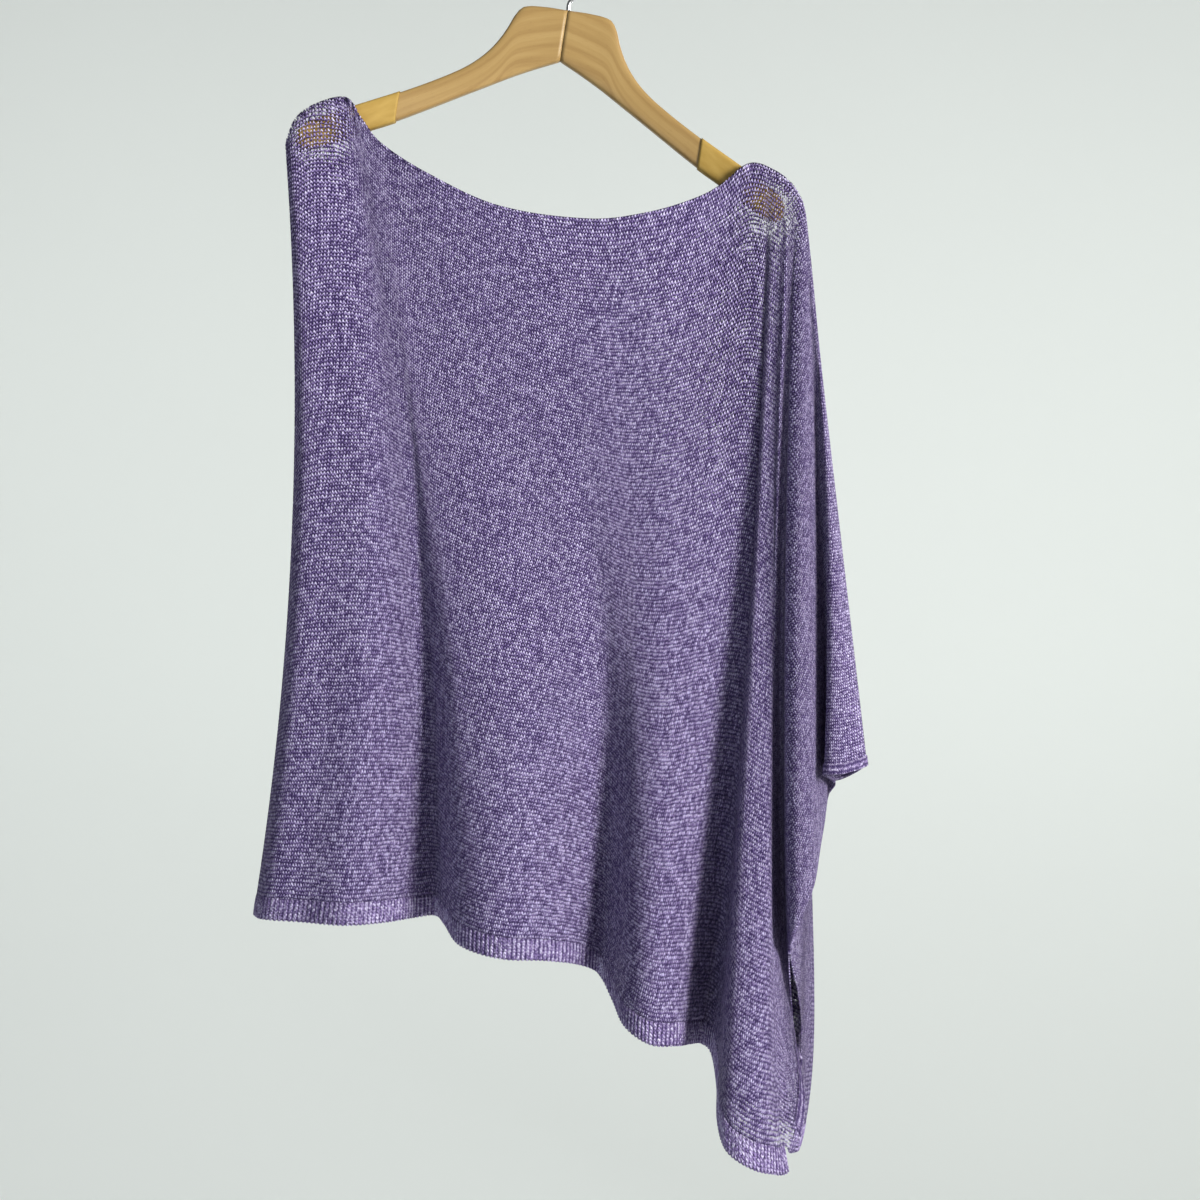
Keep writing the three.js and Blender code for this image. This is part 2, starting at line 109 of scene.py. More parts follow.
def make_stage():
    """The floor and wall as one bent grid."""
    rise = STAGE["top"] - STAGE["floor"] - STAGE["cove"]
    length = STAGE["wall"] - STAGE["cove"] - STAGE["front"] + STAGE["cove"] * math.pi / 2 + rise
    bm = bmesh.new()
    bmesh.ops.create_grid(bm, x_segments=8, y_segments=90, size=1)
    for vert in bm.verts:
        depth, height = stage_profile((vert.co.y + 1) / 2 * length)
        vert.co = (vert.co.x * STAGE["half_width"], depth, height)
    mesh = bpy.data.meshes.new("stage")
    bm.to_mesh(mesh)
    bm.free()
    mesh.shade_smooth()
    mesh.materials.append(matt_paint("stage_paint", (0.87, 0.90, 0.88)))
    stage = bpy.data.objects.new("stage", mesh)
    bpy.context.scene.collection.objects.link(stage)
    return stage


stage = make_stage()
print("stage faces:", len(stage.data.polygons))

# %% Light
LIGHTS = [
    # name, place, looks at, size, power, colour
    ("window", (2.25, -1.95, 0.15), (0.0, 0.0, -0.65), 0.9, 140, (1.0, 0.985, 0.955)),
    ("room", (-1.6, -2.9, -0.6), (-0.1, 0.0, -0.75), 1.6, 14, (0.70, 0.79, 1.0)),
    ("behind", (1.3, 2.4, 0.2), (0.0, 0.0, -0.6), 1.2, 42, (0.97, 0.98, 1.0)),
    ("wall_left", (-1.9, 1.5, -0.1), (-1.4, 4.2, 0.1), 1.6, 21, (0.98, 1.0, 0.99)),
    ("wall_right", (1.9, 1.5, -0.1), (1.4, 4.2, 0.1), 1.6, 24, (0.98, 1.0, 0.99)),
]


def add_light(name, place, target, size, power, colour):
    """A square soft light that faces a point."""
    light = bpy.data.lights.new(name, "AREA")
    light.size = size
    light.energy = power
    light.color = colour
    lamp = bpy.data.objects.new(name, light)
    lamp.location = place
    lamp.rotation_euler = (Vector(target) - Vector(place)).to_track_quat("-Z", "Y").to_euler()
    bpy.context.scene.collection.objects.link(lamp)


for light_row in LIGHTS:
    add_light(*light_row)
room = bpy.data.worlds.new("room")
room.use_nodes = True
room.node_tree.nodes["Background"].inputs["Color"].default_value = (0.90, 0.95, 0.93, 1)
room.node_tree.nodes["Background"].inputs["Strength"].default_value = 0.19
bpy.context.scene.world = room
bpy.context.scene.view_settings.view_transform = "Standard"
print("lights:", len(LIGHTS))

# %% [markdown]
# ## The cut and the hang
# Each panel is a rectangle of knit, 665 mm long and 959 mm wide as it hangs. Relaxed, it is 860 mm wide. It
# hangs from its top edge, which runs from the left shoulder along the neckline to the right shoulder and down
# the top of the sleeve. A hung cloth could be simulated, but folds that have settled for hours are easier to
# set down one by one: each row below is one fold line, with its start on the top edge, its end on the cut and
# where that end hangs. Sizes are in millimetres. Most x and z places were picked in the photograph and turned
# into millimetres with a calculator; the other columns were chosen.

# %% Sizes and tables
MM = 0.001
CUT = {
    "width": 959, "relaxed": 860, "length": 665,
    "shoulder_end": 50, "neck_end": 431, "cuff_end": 165, "slit_top": 425,
}
RIB_HEM = {
    "length": 18, "count": 208, "rise": 0.8, "rounding": 0.8,
    "overlap": 0.2, "scallop": 1.1, "sink": 0.25, "wall": 1.2,
}
HEM_PITCH = CUT["width"] / RIB_HEM["count"]
EDGE_BAND = 9
TENT = {
    "width": 9.6, "neck_open": 6, "fade": 260, "turn": 4.5,
    "corner_blend": 4, "seam_blend": 12, "seam_turn": 7, "slit_blend": 40, "half_gap": 0.2,
}
FOLD_START = 1.6
LATE_FOLDS = {"from": 405, "full": 441, "last": 464, "gone": 478, "more": 0.9}
FOOT_TURN = 14

TOP_EDGE = [
    # s along the cut, x, z, y
    (0, -246, -182, -42),
    (12, -238, -162, -40),
    (28, -222, -149, -36),
    (50, -197, -142, -28),
    (72, -184, -160, -25),
    (97, -168, -180, -24),
    (148, -126, -208, -26),
    (212, -67, -235, -25),
    (288, 10, -246, -25),
    (339, 60, -240, -26),
    (383, 102, -226, -22),
    (407, 123, -214, -22.5),
    (431, 145, -198, -29.5),
    (453, 165, -205, -36),
    (471, 180, -218, -41),
    (486, 188, -233, -43),
    (503, 191, -251, -44),
    (532, 193, -281, -44),
    (608, 200, -357, -44),
    (731, 213, -480, -45),
    (804, 221, -552, -46),
    (889, 231, -637, -48),
    (959, 241, -706, -50),
]

FRONT_FOLDS = [
    # name, top, s, t, x, z, y, bow, belly, flare, curl
    ("left side", 0, 0, 665, -277, -836, -12, 20, 0, 0, 0),
    ("side roll", 14, 37, 665, -265, -836, -40, 20, -6, 0, 0),
    ("side flat", 30, 76, 665, -232, -837, -50, 21, -8, 0, 0),
    ("ridge 3", 45, 121, 665, -195, -838, -64, 22, -8, 0, 0),
    ("slope 3", 58, 167, 665, -163, -838, -44, 20, -8, 0, 0),
    ("run 3", 68, 215, 665, -140, -838, -12, 18, -13, 0, 0),
    ("valley 3", 77, 242, 665, -123, -839, 8, 18, -18, 0, 0),
    ("wall 2", 86, 278, 665, -113, -843, -24, 18, -14, 0, 0),
    ("edge 2", 100, 322, 665, -98, -855, -62, 21, -7, 0, 0),
    ("ridge 2", 135, 368, 665, -65, -863, -82, 24, -4, 0, 0),
    ("slope 2", 175, 416, 665, -28, -867, -66, 26, -6, 0, 0),
    ("run 2", 215, 463, 665, 1, -876, -30, 26, -12, 0, 0),
    ("valley 2", 242, 492, 665, 18, -888, -8, 26, -14, 0, 0),
    ("wall 1", 270, 527, 665, 29, -905, -34, 22, -10, 0, 0),
    ("edge 1", 310, 569, 665, 39, -921, -70, 14, -4, 0, 0),
    ("ridge 1", 355, 604, 665, 59, -933, -86, 6, -4, 0, 0),
    ("brow 1", 396, 635, 665, 81, -937, -70, 1, -4, 0, 0),
    ("drop 1", 425, 675, 665, 93, -942, -34, 8, -4, 0, 0),
    ("valley 1", 441, 708, 665, 105, -947, -5, 12, -4, 0, 0),
    ("turn 1", 446, 731, 665, 113, -952, -26, 10, 0, 0, 0),
    ("wall A", 449, 786, 665, 116, -974, -62, 7, 0, 0, 0),
    ("edge A", 452, 831, 665, 115, -996, -92, 4, -2, 0, 0),
    ("front A", 455, 871, 665, 121, -1015, -110, 2, -4, 0, 0),
    ("ridge A", 458, 901, 665, 138, -1027, -117, 0, -4, 0, 0),
    ("brow A", 461, 927, 665, 155, -1034, -108, -3, -6, 0, 0),
    ("corner", 464, 959, 665, 173, -1038, -84, -5, -8, 13, 0),
    ("slit low", 467, 959, 635, 184, -1015, -62, -7, -10, 20, 0),
    ("slit lower", 469, 959, 592, 189, -986, -50, -6, -8, 23, 0),
    ("slit middle", 471, 959, 531, 183, -942, -45, -6, -7, 14, 0),
    ("slit upper", 473, 959, 482, 179, -906, -47, -5, -7, 6, 0),
    ("slit top", 476, 959, 425, 176, -863, -59, -5, -6, 2, 0),
    ("R edge", 478, 959, 403, 176, -846, -79, -5, -7, 1, 0),
    ("R ridge", 481, 959, 378, 182, -831, -86, -2, -10, 0, 0),
    ("R side", 485, 959, 330, 194, -803, -78, -2, -11, 0, 0),
    ("R back", 490, 959, 268, 201, -774, -58, 0, -10, 0, 0),
    ("R turn", 496, 959, 215, 206, -753, -44, 1, -8, 0, 0),
    ("underarm", 502, 959, 165, 210, -733, -33, 2, -9, 0, 0),
    ("cuff inside", 509, 959, 112, 216, -721, -40, 3, -10, 0, 0),
    ("cuff corner", 517, 959, 66, 204, -712, -68, 8, -7, 0, 0),
    ("cuff front", 527, 959, 33, 217, -711, -72, 5, -8, 0, 0),
    ("sleeve top", 540, 959, 0, 241, -706, -50, 0, 0, 0, 0),
]

BACK_FOLDS = [
    # name, top, s, t, x, z, y, bow, belly, flare, curl
    ("left side", 0, 0, 665, -277, -836, -12, 20, 0, 0, 0),
    ("side roll", 14, 32, 665, -269, -838, 20, 20, 8, 0, 0),
    ("side flat", 30, 82, 665, -240, -840, 40, 21, 10, 0, 0),
    ("valley 1", 48, 134, 665, -202, -839, 6, 20, 4, 0, 0),
    ("slope 1", 62, 184, 665, -164, -840, 24, 18, 8, 0, 0),
    ("ridge 2", 78, 232, 665, -130, -843, 54, 18, 14, 0, 0),
    ("run 2", 105, 280, 665, -94, -852, 26, 20, 6, 0, 0),
    ("valley 2", 150, 342, 665, -52, -863, -4, 24, 4, 0, 0),
    ("slope 3", 200, 396, 665, -14, -873, 24, 26, 8, 0, 0),
    ("ridge 3", 245, 446, 665, 18, -889, 56, 26, 16, 0, 0),
    ("run 3", 300, 498, 665, 44, -912, 24, 16, 8, 0, 0),
    ("valley 3", 350, 544, 665, 68, -932, -14, 8, 2, 0, 0),
    ("slope 4", 396, 590, 665, 90, -944, 20, 4, 8, 0, 0),
    ("ridge 4", 432, 632, 665, 110, -952, 54, 6, 14, 0, 0),
    ("run 4", 444, 682, 665, 126, -972, 26, 6, 10, 0, 0),
    ("valley 4", 450, 738, 665, 143, -992, -12, 6, 4, 0, 0),
    ("slope 5", 455, 792, 665, 159, -1008, 12, 8, 8, 0, 0),
    ("ridge 5", 459, 840, 665, 177, -1020, 34, 7, 12, -9, 0),
    ("D outline", 462, 880, 665, 189, -1030, 16, -3, 10, -18, -4),
    ("D front", 464, 908, 665, 187, -1034, -18, -3, 9, -22, -18),
    ("D edge", 466, 934, 665, 182, -1034, -32, -1, 12, -25, -19),
    ("corner", 468, 959, 665, 176, -1030, -42, 2, 15, -26, -18),
    ("slit low", 470, 959, 635, 181, -1007, -38, 5, 18, -15, -4),
    ("slit lower", 471, 959, 592, 185, -975, -40, 9, 19, -5, 0),
    ("slit middle", 473, 959, 531, 188, -938, -37, 12, 20, 3, 7),
    ("slit upper", 475, 959, 482, 185, -904, -41, 13, 21, 1, 5),
    ("slit top", 477, 959, 425, 176, -863, -59, 14, 22, -9, -14),
    ("R edge", 479, 959, 403, 176, -846, -79, 11, 21, -15, -37),
    ("R ridge", 482, 959, 378, 182, -831, -86, 9, 20, -14, -49),
    ("R side", 486, 959, 330, 194, -803, -78, 6, 18, -8, -48),
    ("R back", 491, 959, 268, 201, -774, -58, 5, 17, -4, -36),
    ("R turn", 497, 959, 215, 206, -753, -44, 6, 17, -1, -28),
    ("underarm", 503, 959, 165, 210, -733, -33, 6, 17, 0, -21),
    ("cuff inside", 510, 959, 112, 216, -724, -10, 6, 17, 0, 0),
    ("cuff corner", 518, 959, 66, 227, -721, -4, 3, 16, 0, 0),
    ("cuff back", 528, 959, 33, 237, -714, -18, 1, 13, 0, 0),
    ("sleeve top", 540, 959, 0, 241, -706, -50, 0, 0, 0, 0),
]
print("fold lines:", len(FRONT_FOLDS), "in front and", len(BACK_FOLDS), "behind")

# %% [markdown]
# A fold table has few rows, and cloth is smooth between them, so each column of the table becomes a smooth
# curve. The flat coordinates stay straight between rows, because the knit isn't stretched there.

# %% Curves through a table
def smooth_curve(knots, values):
    """A function that runs smoothly through the values."""
    knots = np.array(knots, float)
    values = np.array(values, float)
    last = len(knots) - 1
    before = np.maximum(np.arange(last + 1) - 1, 0)
    after = np.minimum(np.arange(last + 1) + 1, last)
    slopes = (values[after] - values[before]) / (knots[after] - knots[before])

    def at(place):
        i = np.clip(np.searchsorted(knots, place, side="right") - 1, 0, last - 1)
        step = knots[i + 1] - knots[i]
        w = (place - knots[i]) / step
        rise = 3 * w**2 - 2 * w**3
        bend = w * (1 - w) ** 2 * step * slopes[i] + w**2 * (w - 1) * step * slopes[i + 1]
        return values[i] + (values[i + 1] - values[i]) * rise + bend

    return at


def ease(value, low, high):
    """0 below low, 1 above high, and an even turn between."""
    w = np.clip((value - low) / (high - low), 0, 1)
    return w * w * (3 - 2 * w)


def unit(vectors):
    """The vectors, each one long."""
    return vectors / np.maximum(np.linalg.norm(vectors, axis=-1, keepdims=True), 1e-9)


top_edge = {axis: smooth_curve([row[0] for row in TOP_EDGE], [row[i] for row in TOP_EDGE])
            for axis, i in (("x", 1), ("z", 2), ("y", 3))}


# %% The drape of one panel
class Drape:
    """One hung panel: a place on it is u, along the fold table, and v, down each fold line."""

    def __init__(self, folds, side):
        self.side = side
        self.count = len(folds) - 1
        self.names = [row[0] for row in folds]
        index = np.arange(len(folds))
        self.flat_columns = {name: [row[i] for row in folds] for name, i in (("top", 1), ("s", 2), ("t", 3))}
        hung_columns = ("x", "z", "y", "bow", "belly", "flare", "curl")
        self.curves = {name: smooth_curve(index, [row[4 + i] for row in folds])
                       for i, name in enumerate(hung_columns)}

    def flat(self, name, u):
        """The top, s or t column at u."""
        return np.interp(u, np.arange(self.count + 1), self.flat_columns[name])

    def cut_place(self, u, v):
        """Where the place lies on the flat cut: across it, and down it."""
        top = self.flat("top", u)
        return top + (self.flat("s", u) - top) * v, self.flat("t", u) * v

    def parting(self, top, s, t):
        """How far this panel stands off the middle, round the hanger: the two meet at their seams."""
        left = 1 - ease(top, CUT["shoulder_end"], CUT["shoulder_end"] + TENT["corner_blend"])
        right = ease(top, CUT["neck_end"] - TENT["corner_blend"], CUT["neck_end"])
        along = np.clip((top - CUT["shoulder_end"]) / (CUT["neck_end"] - CUT["shoulder_end"]), 0, 1)
        width = (TENT["width"] + TENT["neck_open"] * np.sin(math.pi * along)) * np.exp(-t / TENT["fade"])
        under_arm = ease(t, CUT["cuff_end"] - TENT["seam_blend"], CUT["cuff_end"])
        seam = under_arm * (1 - ease(t, CUT["slit_top"], CUT["slit_top"] + TENT["slit_blend"]))
        at_top = 1 - np.maximum(left, right) * np.exp(-t / TENT["turn"])
        at_left = 1 - np.exp(-s / TENT["turn"])
        at_seam = 1 - seam * np.exp(-(CUT["width"] - s) / TENT["seam_turn"])
        return width * at_top * at_left * at_seam

    def inside(self, u, v):
        """The points of the cloth's inner face, in millimetres."""
        top = self.flat("top", u)
        s, t = self.cut_place(u, v)
        at = {name: run(u) for name, run in self.curves.items()}
        hump = 4 * v * (1 - v)
        turned = v**FOOT_TURN
        start = {axis: run(top) for axis, run in top_edge.items()}
        x = start["x"] + (at["x"] - at["flare"] - start["x"]) * v + at["bow"] * hump + at["flare"] * turned
        late = ease(top, LATE_FOLDS["from"], LATE_FOLDS["full"])
        late = late * (1 - ease(top, LATE_FOLDS["last"], LATE_FOLDS["gone"]))
        fold_start = FOLD_START + LATE_FOLDS["more"] * late
        hung = start["y"] + (at["y"] - at["curl"] - start["y"]) * v**fold_start
        apart = self.side * (self.parting(top, s, t) + TENT["half_gap"])
        y = hung + at["belly"] * hump + at["curl"] * turned + apart
        z = start["z"] + (at["z"] - start["z"]) * v
        return np.stack([x, y, z], axis=-1)

    def outward(self, u, v):
        """The direction out of the cloth."""
        reach = 0.02
        place = np.minimum(u, self.count - 0.3)
        level = np.where(u > self.count - 2, np.maximum(v, 0.03), v)
        across = self.inside(place + reach, level) - self.inside(np.maximum(place - reach, 0), level)
        below = self.inside(place, np.minimum(level + reach / 4, 1))
        above = self.inside(place, np.maximum(level - reach / 4, 0))
        return self.side * unit(np.cross(across, below - above))

    def point(self, u, v, out):
        """A place on the panel moved out along the cloth's direction."""
        return self.inside(u, v) + self.outward(u, v) * np.asarray(out)[..., None]

    def row(self, name):
        """The place along the fold table of a named row."""
        return self.names.index(name)

    def end(self, u):
        """The level at which the knit ends at the rib hem's seam, or at the panel's edge."""
        return np.minimum((CUT["length"] - RIB_HEM["length"]) / np.maximum(self.flat("t", u), 1), 1)

    def even(self, first, last, count):
        """count + 1 places from first to last, evenly spread along the cloth."""
        fine = np.linspace(first, last, 4000)
        lines = [self.inside(fine, np.full_like(fine, v)) for v in (0.5, 1)]
        lengths = sum(np.linalg.norm(np.diff(line, axis=0), axis=1) for line in lines)
        run = np.concatenate([[0], np.cumsum(lengths + lengths.sum() * 0.2 / 4000)])
        return np.interp(np.linspace(0, run[-1], count + 1), run, fine)


front = Drape(FRONT_FOLDS, -1)
back = Drape(BACK_FOLDS, 1)
foot = front.inside(np.linspace(0, front.row("corner"), 400), np.ones(400))
foot_run = float(np.linalg.norm(np.diff(foot, axis=0), axis=1).sum())
print("front hem runs", round(foot_run), "mm for a cut of", CUT["width"], "mm")

# %% [markdown]
# ## From grid to cloth
# A panel starts as a flat grid, as a length of knitting comes off the machine. Each vertex of the grid is
# then moved to its hung place. The grid's UV map, named flat, keeps each vertex's place on the cut in metres,
# so that rows of stitches follow the cloth round every fold. Solidify gives the cloth its thickness. A number
# on each vertex of a panel says how far its stitches are pulled open.

# %% Cloth maker
def cloth(name, place, across, down, side, wall, slot, pull=None):
    """A sheet from a grid, where place gives points and flat coordinates for shares across and down."""
    bm = bmesh.new()
    bmesh.ops.create_grid(bm, x_segments=across, y_segments=down, size=1)
    mesh = bpy.data.meshes.new(name)
    bm.to_mesh(mesh)
    bm.free()
    grid = np.empty(len(mesh.vertices) * 3)
    mesh.vertices.foreach_get("co", grid)
    grid = grid.reshape(-1, 3)
    points, cut_places = place((1 - side * grid[:, 0]) / 2, (1 - grid[:, 1]) / 2)
    mesh.vertices.foreach_set("co", (points * MM).ravel())
    corners = np.empty(len(mesh.loops), int)
    mesh.loops.foreach_get("vertex_index", corners)
    flat_map = mesh.uv_layers.new(name="flat")
    flat_map.data.foreach_set("uv", (cut_places[corners] * MM).ravel())
    mesh.update()
    mesh.shade_smooth()
    piece = bpy.data.objects.new(name, mesh)
    bpy.context.scene.collection.objects.link(piece)
    thickness = piece.modifiers.new("thickness", "SOLIDIFY")
    thickness.thickness = wall * MM
    thickness.offset = 1
    if pull:
        layer = mesh.attributes.new("open", "FLOAT", "POINT")
        layer.data.foreach_set("value", pull(points, cut_places))
    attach(piece, "root")
    return piece


# %% The panels
PANEL_GRID = (246, 186)
GRID_CROWDING = 1.12
PANEL_WALL = 1.1
ROW_SAG = {"drop": 26, "reach": 60, "fade": 300}
PULLED_SPOTS = [
    # name, map, strength, middle across and down the map, reach across and down it
    ("left tip", "hung", 1.2, -221, -171, 30, 27),
    ("right tip", "hung", 1.2, 165, -238, 26, 28),
    ("below the right shoulder", "cut", 0.45, 480, 110, 80, 110),
]
PULLED_EDGES = [
    # name, strength, from and to across the cut, from and to down the cut
    ("slit's edge", 0.6, 915, 950, 380, 440),
    ("low corner", 0.3, 840, 930, 540, 630),
]


def openness(points, cut_places):
    """How far the stitches are pulled open at each place, from 0 to 1."""
    maps = {"hung": points[:, [0, 2]].T, "cut": cut_places.T}
    pulled = np.zeros(len(points))
    for _, on, strength, middle_across, middle_down, wide, high in PULLED_SPOTS:
        across = (maps[on][0] - middle_across) / wide
        down = (maps[on][1] - middle_down) / high
        pulled += strength * np.exp(-(across**2) - down**2)
    s, t = maps["cut"]
    for _, strength, left, right, upper, lower in PULLED_EDGES:
        pulled += strength * ease(s, left, right) * ease(t, upper, lower)
    return np.clip(pulled, 0, 1)


def row_sag(top, t):
    """How far the rows slope down from the left edge to the neck's corner: they fan out from the shoulder."""
    slope = np.clip(top / ROW_SAG["reach"], 0, 1) ** 2
    return ROW_SAG["drop"] * slope * np.exp(-((t / ROW_SAG["fade"]) ** 2))


def make_panel(name, drape):
    """One knitted panel down to its rib hem."""
    columns = drape.even(0, drape.count, PANEL_GRID[0])

    def place(a, b):
        u = np.interp(a, np.linspace(0, 1, len(columns)), columns)
        v = b**GRID_CROWDING * drape.end(u)
        s, t = drape.cut_place(u, v)
        return drape.inside(u, v), np.stack([s, t - row_sag(drape.flat("top", u), t)], axis=-1)

    return cloth(name, place, *PANEL_GRID, drape.side, PANEL_WALL, "knit", openness)


front_knit = make_panel("front_knit", front)
back_knit = make_panel("back_knit", back)
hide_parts("front_panel")
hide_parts("back_panel")
print("faces in each panel:", len(front_knit.data.polygons))

# %% [markdown]
# ## The ribbed hem
# The hem is knitted in ribs: narrow upright ridges with a furrow between each two. On so small a band the
# ribs are real relief, made by moving the grid out along the cloth by a rounded wave of the flat cut.

# %% The ribbed hems
def make_hem(name, drape):
    """The rib hem below a panel, with its ridges and a lightly scalloped lower edge."""
    ribs = RIB_HEM["count"]
    last = drape.row("corner")

    def place(a, b):
        s = a * CUT["width"]
        u = np.interp(s, drape.flat_columns["s"][: last + 1], np.arange(last + 1))
        wave = (0.5 + 0.5 * np.cos(2 * math.pi * ribs * a)) ** RIB_HEM["rounding"]
        length = RIB_HEM["length"] + RIB_HEM["overlap"] - RIB_HEM["scallop"] * (1 - wave)
        t = CUT["length"] - RIB_HEM["length"] - RIB_HEM["overlap"] + b * length
        rise = RIB_HEM["rise"] * wave * (0.35 + 0.65 * np.sin(math.pi * np.clip(b, 0, 1)) ** 0.5)
        return drape.point(u, t / CUT["length"], rise - RIB_HEM["sink"]), np.stack([s, t], axis=-1)

    return cloth(name, place, ribs * 8, 8, drape.side, RIB_HEM["wall"], "knit_rib")


front_hem = make_hem("front_ribs", front)
back_hem = make_hem("back_ribs", back)
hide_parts("front_hem_rib")
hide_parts("back_hem_rib")
print("faces in each hem:", len(front_hem.data.polygons))

# %% [markdown]
# ## Bands and the beaded edge
# The neck, the cuff and the slit are finished with a narrow denser band. Each is a strip of the same drape,
# moved out by the thickness of the cloth, so that it lies on the panel wherever the panel goes.

# %% The bands
BAND_WALL = 0.7
BAND_GAP = 0.25
EDGE_INSET = 0.3
NECK = {"bead": 3.2, "rise": 0.9, "share": 0.036, "sink": 1.1}


def make_band(name, drape, first, last, shares, depth, lift):
    """A strip on a panel between two fold rows, where depth gives its two levels and lift its height."""
    columns = drape.even(first, last, shares[0])

    def place(a, b):
        u = np.interp(a, np.linspace(0, 1, len(columns)), columns)
        low, high = depth(u)
        v = low + (high - low) * b
        s, t = drape.cut_place(u, v)
        return drape.point(u, v, lift(s, b)), np.stack([s, t], axis=-1)

    return cloth(name, place, *shares, drape.side, BAND_WALL, "knit_rib")


def neck_depth(u):
    """The neck band's levels."""
    return np.zeros_like(u), np.full_like(u, NECK["share"])


def neck_lift(s, b):
    """How far the neck band stands off the panel: beaded along its top, and sunk in at its foot."""
    bead = 0.5 + 0.5 * np.cos(2 * math.pi * s / NECK["bead"])
    beaded = NECK["rise"] * bead * (1 - ease(b, 0.0, 0.2))
    return PANEL_WALL + BAND_GAP + beaded - NECK["sink"] * ease(b, 0.45, 1.0)


def edge_lift(s, b):
    """How far the slit's and the cuff's edges stand off the panel."""
    return np.full_like(s, PANEL_WALL + BAND_GAP)


def edge_depth(drape):
    """The levels of a band along the panel's right edge."""
    def levels(u):
        run = CUT["width"] - drape.flat("top", u)
        return drape.end(u) - EDGE_BAND / run, drape.end(u) - EDGE_INSET / run
    return levels


def top_place(drape, top):
    """The place along the fold table whose fold starts at top on the top edge."""
    return float(np.interp(top, drape.flat_columns["top"], np.arange(drape.count + 1)))


bands = {}
for label, drape in (("front", front), ("back", back)):
    neck_from, neck_to = CUT["shoulder_end"] + EDGE_BAND, CUT["neck_end"] - EDGE_BAND
    neck_ends = top_place(drape, neck_from), top_place(drape, neck_to)
    slit_ends = drape.row("slit low"), drape.row("slit middle")
    cuff_ends = drape.row("cuff inside"), drape.row("sleeve top")
    bands[label] = [
        make_band(f"{label}_neck_edge", drape, *neck_ends, (960, 12), neck_depth, neck_lift),
        make_band(f"{label}_slit_edge", drape, *slit_ends, (60, 6), edge_depth(drape), edge_lift),
        make_band(f"{label}_cuff_edge", drape, *cuff_ends, (60, 6), edge_depth(drape), edge_lift),
    ]
    for band, node in zip(bands[label], ("neck_band", "slit_band", "cuff_band")):
        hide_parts(f"{label}_{node}")
print("bands:", sum(len(group) for group in bands.values()))

# %% [markdown]
# ## The cloth's size
# The panels' and hems' cut sizes, relaxed and as hung, stand in CUT and RIB_HEM above.

# %% Sheets
print("cut sizes: CUT and RIB_HEM")

# %% [markdown]
# ## The hanger's arms
# Each arm is sawn from beech and rounded over: deep in the middle, where it drops in a steep shoulder, and
# slender toward its tip, which curves forward. Rings of a rounded section are set along it and joined with
# bridge_loops, which keeps the section smooth where its height changes fast.

# %% Rings joined into a body
HANGER = {
    "roll": math.radians(8.8), "tip_forward": 44, "reach": 218, "grip_start": 130,
    "rounding": 0.45, "joint_edge": 0.7, "tip_edge": 1.2,
}
ARM_STATIONS = [
    # a outward from the middle, upper edge, lower edge, half the thickness
    (0.15, -62, -106, 6.5),
    (20, -62, -115.5, 6.5),
    (38, -65, -125, 6.5),
    (44, -73, -128.5, 6.5),
    (50, -88, -132, 6.4),
    (60, -105, -138, 6.2),
    (75, -121, -147, 6.0),
    (96, -136, -160, 5.8),
    (130, -156.5, -181, 5.5),
    (155, -170.5, -195, 5.2),
    (178, -183.5, -209, 5.0),
    (194, -193.5, -217, 4.8),
    (202, -199.5, -219, 4.2),
    (206.3, -205.5, -216.5, 2.8),
]
arm_places = [row[0] for row in ARM_STATIONS]
arm_curves = [smooth_curve(arm_places, [row[i] for row in ARM_STATIONS]) for i in (1, 2, 3)]


def rolled(point):
    """A point of the hanger's own upright frame, turned with its roll on the hook, in metres."""
    x, y, z = point
    c, s = math.cos(HANGER["roll"]), math.sin(HANGER["roll"])
    return Vector((x * c + z * s, y, z * c - x * s)) * MM


def joined_rings(name, rings, grain):
    """A closed body through rings of points, with each ring's grain coordinates in its UV map."""
    bm = bmesh.new()
    loops = []
    places = {}
    for ring, marks in zip(rings, grain):
        made = bmesh.ops.create_circle(bm, cap_ends=False, segments=len(ring), radius=1)["verts"]
        for vert, point, mark in zip(made, ring, marks):
            vert.co = rolled(point)
            places[vert] = mark
        loops.append(list({edge for vert in made for edge in vert.link_edges}))
    for near, far in zip(loops, loops[1:]):
        bmesh.ops.bridge_loops(bm, edges=near + far)
    for end in (loops[0], loops[-1]):
        bmesh.ops.contextual_create(bm, geom=end)
    bmesh.ops.recalc_face_normals(bm, faces=bm.faces[:])
    grain_map = bm.loops.layers.uv.new("grain")
    for face in bm.faces:
        for corner in face.loops:
            corner[grain_map].uv = places[corner.vert]
    mesh = bpy.data.meshes.new(name)
    bm.to_mesh(mesh)
    bm.free()
    mesh.shade_smooth()
    piece = bpy.data.objects.new(name, mesh)
    bpy.context.scene.collection.objects.link(piece)
    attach(piece, "root")
    return piece


def arm_ring(a, mirror, margin, around=28):
    """One rounded section of an arm, grown by a margin, and its grain coordinates."""
    top, bottom, half = (float(run(a)) for run in arm_curves)
    middle = -HANGER["tip_forward"] * (a / HANGER["reach"]) ** 2
    power = HANGER["rounding"]
    ring, marks = [], []
    for k in range(around):
        angle = 2 * math.pi * k / around
        across = math.copysign(abs(math.cos(angle)) ** power, math.cos(angle)) * (half + margin)
        up = math.copysign(abs(math.sin(angle)) ** power, math.sin(angle)) * ((top - bottom) / 2 + margin)
        ring.append((mirror * a, middle + across, (top + bottom) / 2 + up))
        marks.append((a * MM, (up + 0.6 * across) * MM))
    return ring, marks


